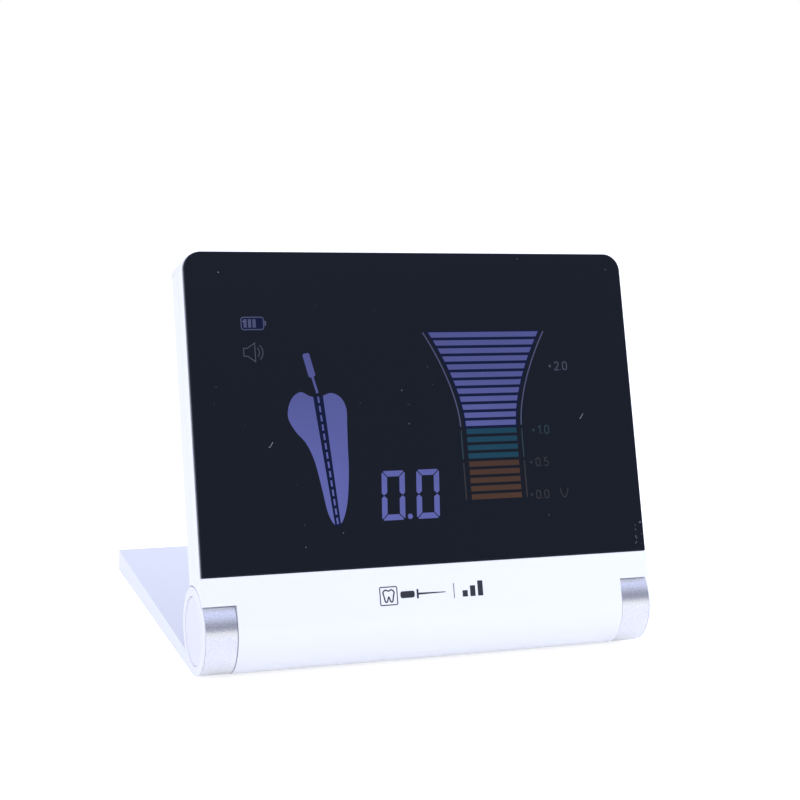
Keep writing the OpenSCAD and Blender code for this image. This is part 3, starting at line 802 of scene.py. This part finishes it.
def band_print():
    """Plain pictograms on the white band: a framed tooth, a canal file, a line and rising bars."""
    box = round_box(-15.15, -10.65, 2.85, 7.3, 0.3)
    tooth = spline(PRINT_TOOTH, 5, True)
    handle = round_box(-9.8, -6.0, 4.3, 6.0, 0.55)
    stop = block(-5.45, -4.95, 4.0, 6.3)
    needle = [(-4.95, 4.9), (2.3, 5.05), (2.3, 5.25), (-4.95, 5.4)]
    bars = [block(6.9 + 2.1 * i, 8.3 + 2.1 * i, 3.6, 5.2 + 1.1 * i) for i in range(3)]
    line = [(4.6, 3.4), (4.6, 7.2)]
    strokes = [(box, 0.26, True), (tooth, 0.34, True), (line, 0.18, False)]
    graphic("band_pictograms", [handle, stop, needle, *bars], strokes, PRINT)


def dust():
    """Specks of dust and two fibres on the glass, and fine wear at its lower right corner."""
    pick = random.Random(11)
    low, high = GLASS_LOW / MM, GLASS_HIGH / MM
    margin = 4
    outlines = []
    for _ in range(16):
        x = pick.uniform(low.x + margin, high.x - margin)
        z = pick.uniform(low.z + margin, high.z - margin)
        outlines.append(arc(x, z, pick.uniform(0.05, 0.12), 0, 300, 5))
    strokes = []
    for x, z in ((-41.2, 43.1), (43.9, 47.8)):
        strokes.append((spline([(x, z), (x + 0.5, z + 0.3), (x + 1.1, z + 1.3)], 4, False), 0.1, False))
    for _ in range(9):
        start = Vector((pick.uniform(high.x - 2.6, high.x - 0.6), pick.uniform(low.z + 0.5, low.z + 9)))
        reach = Vector((pick.uniform(-0.5, 0.3), pick.uniform(-0.7, 0.7)))
        strokes.append(([tuple(start), tuple(start + reach)], 0.06, False))
    graphic("glass_dust", outlines, strokes, MARK)


# ---- marks and contacts on the right side ----


def on_right(name):
    """Where a node's right face is: from there x runs to the back, z up the housing and -y outwards."""
    low, high = panel_box(name)
    spot = Vector((high.x, (low.y + high.y) / 2, (low.z + high.z) / 2))
    return PANEL @ Matrix.Translation(spot) @ Matrix.Rotation(math.pi / 2, 4, "Z")


def key_marks():
    """Raised marks on the keys: a broken ring with a stroke, a wedge and three bars."""
    ring = [(arc(0, 0, 0.75, 125, 415, 20), 0.2, False), ([(0, 0.3), (0, 1.05)], 0.2, False)]
    wedge = [([(-0.7, -0.6), (0.6, 0.9), (0.6, -0.6)], 0.2, True)]
    bars = [([(-0.65, z), (0.65, z)], 0.22, False) for z in (-0.65, 0, 0.65)]
    for joint, strokes in (("power_press", ring), ("volume_press", wedge), ("mode_press", bars)):
        body = next(j["child"] for j in frame["joints"] if j["name"] == joint)
        key = joint.replace("_press", "_key")
        mesh = bmesh.new()
        for points, width, closed in strokes:
            add_stroke(mesh, points, width, -0.1 * MM, 0.05 * MM, closed)
        make_piece(key + "_mark", mesh, MARK, body, place=on_right(key))


def annulus(mesh, inner, outer, front, back, steps=48):
    """A flat ring between two radii and two depths."""
    rings = []
    for radius, depth in ((inner, front), (outer, front), (outer, back), (inner, back)):
        circle = arc(0, 0, radius, 0, 360, steps)[:-1]
        rings.append([mesh.verts.new((x * MM, depth * MM, z * MM)) for x, z in circle])
    for near, far in zip(rings, rings[1:] + rings[:1]):
        for i in range(steps):
            j = (i + 1) % steps
            mesh.faces.new((near[i], near[j], far[j], far[i]))


def side_contacts():
    """The bright mouth of the lead socket and the gold contacts on the port's tongue."""
    mesh = bmesh.new()
    annulus(mesh, 1.82, 2.25, -0.12, 0.15)
    mouth = make_piece("socket_mouth", mesh, NICKEL, place=on_right("measuring_jack"))
    shade = mouth.modifiers.new("Shade", "BEVEL")
    shade.width = 0.04 * MM
    shade.segments = 2
    mesh = bmesh.new()
    tongue = 0.35
    for i in range(6):
        z = -2.5 + i
        box = bmesh.ops.create_cube(mesh, size=1)["verts"]
        for vert in box:
            corner = Vector((vert.co.x * 0.06, vert.co.y * 1.8, vert.co.z * 0.4))
            vert.co = (Vector((-tongue, 1.6, z)) + corner) * MM
    make_piece("port_contacts", mesh, GOLD, place=on_right("charging_port"))


# ---- stage, light and camera ----


def make_floor():
    """A plain pale floor."""
    size = 12.0
    mesh = bmesh.new()
    bmesh.ops.create_grid(mesh, x_segments=4, y_segments=4, size=size)
    data = bpy.data.meshes.new("studio_floor")
    mesh.to_mesh(data)
    mesh.free()
    material, tree, shader = new_material("floor_pale", (0.86, 0.86, 0.86), 0.7)
    shader.inputs["Specular IOR Level"].default_value = 0.1
    shader.inputs["Emission Color"].default_value = (1, 1, 1, 1)
    lit = add_node(tree, "ShaderNodeLightPath")
    glow = ranged(tree, lit.outputs["Is Camera Ray"], 0, 1, 0.17, 0.58)
    tree.links.new(glow, shader.inputs["Emission Strength"])
    vary_colour(tree, shader, 3, (0.86, 0.86, 0.86), (0.85, 0.85, 0.855))
    data.materials.append(material)
    floor = bpy.data.objects.new("studio_floor", data)
    bpy.context.scene.collection.objects.link(floor)


def direction(azimuth, elevation):
    """The unit vector at an azimuth from -Y towards +X and an elevation, in degrees."""
    turn, rise = math.radians(azimuth), math.radians(elevation)
    return Vector((math.sin(turn) * math.cos(rise), -math.cos(turn) * math.cos(rise), math.sin(rise)))


def smooth(tree, value, low, high):
    """0 below low and 1 above high with a soft step between; low may be the larger one."""
    first, last = (low, high) if low < high else (high, low)
    ends = {"From Min": first, "From Max": last}
    ends.update({"To Min": 0.0, "To Max": 1.0} if low < high else {"To Min": 1.0, "To Max": 0.0})
    made = add_node(tree, "ShaderNodeMapRange", ends, interpolation_type="SMOOTHSTEP")
    tree.links.new(value, made.inputs["Value"])
    return made.outputs["Result"]


def combine(tree, operation, *values):
    """Sockets or numbers put through one math operation, two at a time."""
    total = values[0]
    for value in values[1:]:
        made = add_node(tree, "ShaderNodeMath", operation=operation)
        for socket, item in zip(made.inputs, (total, value)):
            if isinstance(item, (int, float)):
                socket.default_value = item
            else:
                tree.links.new(item, socket)
        total = made.outputs["Value"]
    return total


# The dark screen's middle and half widths in degrees, and where it starts and ends as sines of elevation
SCREEN_AZIMUTH = 22
SCREEN_SIDE = (18, 35)
SCREEN_FOOT = (0.17, 0.27)
SCREEN_TOP = (0.45, 0.80)


def dark_screen(tree, split):
    """1 where a dark screen stands on the camera's side of the studio, 0 elsewhere."""
    x, y, z = (split.outputs[axis] for axis in "XYZ")
    across = combine(tree, "ARCTAN2", x, combine(tree, "MULTIPLY", y, -1.0))
    off = add_node(tree, "ShaderNodeMath", operation="ABSOLUTE")
    tree.links.new(combine(tree, "SUBTRACT", across, math.radians(SCREEN_AZIMUTH)), off.inputs[0])
    core, edge = (math.radians(side) for side in SCREEN_SIDE)
    beside = smooth(tree, off.outputs["Value"], edge, core)
    above = smooth(tree, z, *SCREEN_FOOT)
    below = smooth(tree, z, SCREEN_TOP[1], SCREEN_TOP[0])
    return combine(tree, "MULTIPLY", beside, above, below)


def make_world():
    """A pale studio, a little violet overhead, with a dark screen for the reflections."""
    world = bpy.data.worlds.new("studio")
    bpy.context.scene.world = world
    world.use_nodes = True
    tree = world.node_tree
    tree.nodes.clear()
    place = add_node(tree, "ShaderNodeTexCoord")
    split = add_node(tree, "ShaderNodeSeparateXYZ")
    tree.links.new(place.outputs["Generated"], split.inputs["Vector"])
    height = ranged(tree, split.outputs["Z"], 0.1, 0.7, 0.0, 1.0)
    sky = add_node(tree, "ShaderNodeMix", data_type="RGBA")
    sky.inputs[6].default_value = (0.97, 0.98, 1.01, 1)
    sky.inputs[7].default_value = (0.72, 0.77, 1.04, 1)
    tree.links.new(height, sky.inputs[0])
    shade = dark_screen(tree, split)
    tone = add_node(tree, "ShaderNodeMix", data_type="RGBA")
    tree.links.new(sky.outputs[2], tone.inputs[6])
    tone.inputs[7].default_value = (0.30, 0.32, 0.42, 1)
    tree.links.new(shade, tone.inputs[0])
    studio = add_node(tree, "ShaderNodeBackground", {"Strength": 1.0})
    tree.links.new(tone.outputs[2], studio.inputs["Color"])
    paper = add_node(tree, "ShaderNodeBackground", {"Color": (1, 1, 1, 1), "Strength": 1.0})
    path = add_node(tree, "ShaderNodeLightPath")
    choose = add_node(tree, "ShaderNodeMixShader")
    tree.links.new(path.outputs["Is Camera Ray"], choose.inputs[0])
    tree.links.new(studio.outputs[0], choose.inputs[1])
    tree.links.new(paper.outputs[0], choose.inputs[2])
    out = add_node(tree, "ShaderNodeOutputWorld")
    tree.links.new(choose.outputs[0], out.inputs["Surface"])


def add_softbox(name, away, distance, size, power, colour):
    """A square area light in a direction from the middle of the object, without a mirror image."""
    middle = (cad_box[0] + cad_box[1]) / 2
    light = bpy.data.lights.new(name, "AREA")
    light.size = size
    light.energy = power
    light.color = colour
    holder = bpy.data.objects.new(name, light)
    bpy.context.scene.collection.objects.link(holder)
    holder.location = middle + away * distance
    holder.rotation_euler = (-away).to_track_quat("-Z", "Y").to_euler()
    holder.visible_glossy = False


def make_lights():
    """A soft key from the right and a weaker fill from the left, both out of the glass's reflection."""
    add_softbox("key_light", direction(60, 17), 0.9, 0.6, 3.95, (0.98, 1.0, 1.0))
    add_softbox("fill_light", direction(-69, 20), 0.9, 0.6, 1.75, (1.0, 1.0, 0.98))


CAMERA_LENS = 74.647
CAMERA_FROM_HINGE = Vector((-154.01, -377.91, 130.24)) * MM
CAMERA_YAW, CAMERA_PITCH, CAMERA_ROLL = 21.021, 10.386, 2.461


def make_camera():
    """The camera at the left of the object, a little above it and slightly rolled."""
    yaw, pitch, roll = (math.radians(a) for a in (CAMERA_YAW, CAMERA_PITCH, CAMERA_ROLL))
    forward = Vector(
        (math.sin(yaw) * math.cos(pitch), math.cos(yaw) * math.cos(pitch), -math.sin(pitch))
    )
    level = Vector((math.cos(yaw), -math.sin(yaw), 0))
    upward = level.cross(forward)
    right = level * math.cos(roll) + upward * math.sin(roll)
    up = upward * math.cos(roll) - level * math.sin(roll)
    data = bpy.data.cameras.new("camera")
    data.sensor_width = 36
    data.lens = CAMERA_LENS
    data.clip_start = 0.01
    camera = bpy.data.objects.new("camera", data)
    bpy.context.scene.collection.objects.link(camera)
    turned = Matrix((right, up, -forward)).transposed().to_4x4()
    camera.matrix_world = Matrix.Translation(HINGE_LINE + CAMERA_FROM_HINGE) @ turned
    bpy.context.scene.camera = camera


# ---- build ----

make_camera()
make_world()
make_lights()
make_floor()
bpy.context.scene.view_settings.view_transform = "Standard"

finish_cad_nodes()
cover_glass()
battery_icon()
speaker_icon()
tooth_graphic()
file_graphic()
reading()
meter()
band_print()
dust()
key_marks()
side_contacts()
